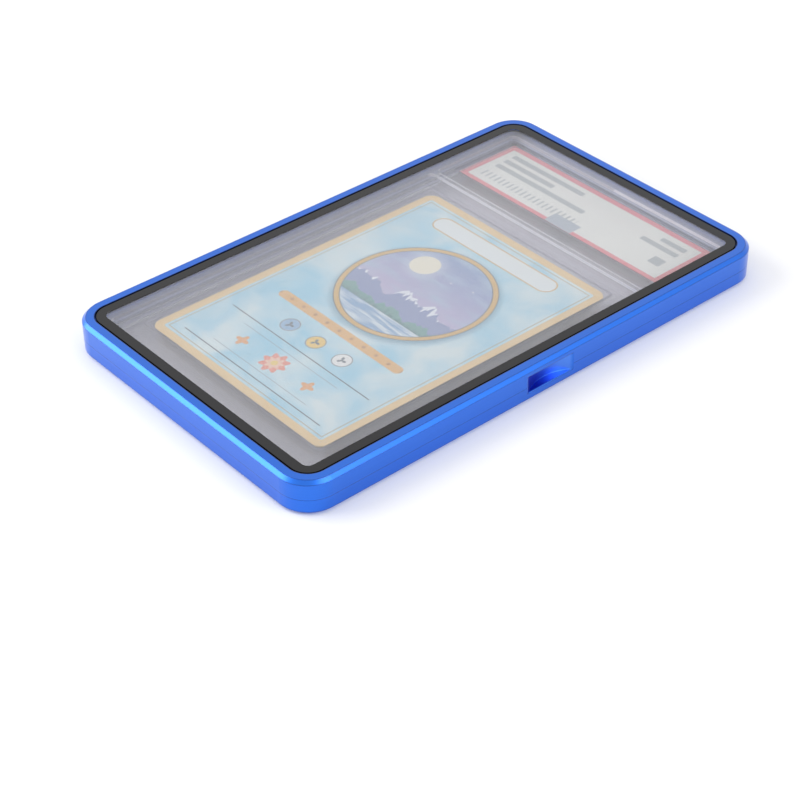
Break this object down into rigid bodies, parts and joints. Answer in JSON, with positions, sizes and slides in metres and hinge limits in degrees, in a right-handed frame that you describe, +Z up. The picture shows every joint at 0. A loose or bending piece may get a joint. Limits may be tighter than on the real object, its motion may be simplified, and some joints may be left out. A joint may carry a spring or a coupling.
{
  "type": "graded card display case",
  "caption": "Flat rounded metal frame case in two magnetic halves with black-bordered panes, clear in front and opal behind, closed round a clear welded slab holding a card and its label.",
  "frame": {"origin": "centre of the case's footprint, at the bottom plane of the back frame's rim", "axes": "+Z up through the front window, +Y along the length towards the label end, +X towards the long side with the thumb notch"},
  "size_m": [0.0874, 0.1428, 0.009],
  "materials": {
    "blue_anodised": "satin blue anodised, milled",
    "clear_pane": "clear polished acrylic",
    "opal_pane": "light grey opal acrylic, polished",
    "black_print": "gloss black print",
    "adhesive_tape": "thin double-sided tape",
    "foam_liner": "thin dark foam",
    "magnet_plating": "nickel plated",
    "clear_slab": "clear moulded polystyrene",
    "card_stock": null,
    "label_paper": null
  },
  "bodies": {
    "back": {"back_frame": "blue_anodised", "back_window": "opal_pane", "back_window_border": "black_print", "back_window_tape": "adhesive_tape", "back_liner": "foam_liner", "back_magnet_1": "magnet_plating", "back_magnet_2": "magnet_plating", "back_magnet_3": "magnet_plating", "back_magnet_4": "magnet_plating", "back_magnet_5": "magnet_plating", "back_magnet_6": "magnet_plating", "back_magnet_7": "magnet_plating", "back_magnet_8": "magnet_plating"},
    "slab": {"slab_front_shell": "clear_slab", "slab_back_shell": "clear_slab", "trading_card": "card_stock", "grading_label": "label_paper"},
    "front": {"front_frame": "blue_anodised", "front_window": "clear_pane", "front_window_border": "black_print", "front_window_tape": "adhesive_tape", "front_liner": "foam_liner", "front_magnet_1": "magnet_plating", "front_magnet_2": "magnet_plating", "front_magnet_3": "magnet_plating", "front_magnet_4": "magnet_plating", "front_magnet_5": "magnet_plating", "front_magnet_6": "magnet_plating", "front_magnet_7": "magnet_plating", "front_magnet_8": "magnet_plating"}
  },
  "joints": [
    {"name": "slab_lift", "type": "slide", "parent": "back", "child": "slab", "axis": [0, 0, 1], "range_m": [0, 0.03]},
    {"name": "cover_lift", "type": "slide", "parent": "slab", "child": "front", "axis": [0, 0, 1], "range_m": [0, 0.03]}
  ]
}
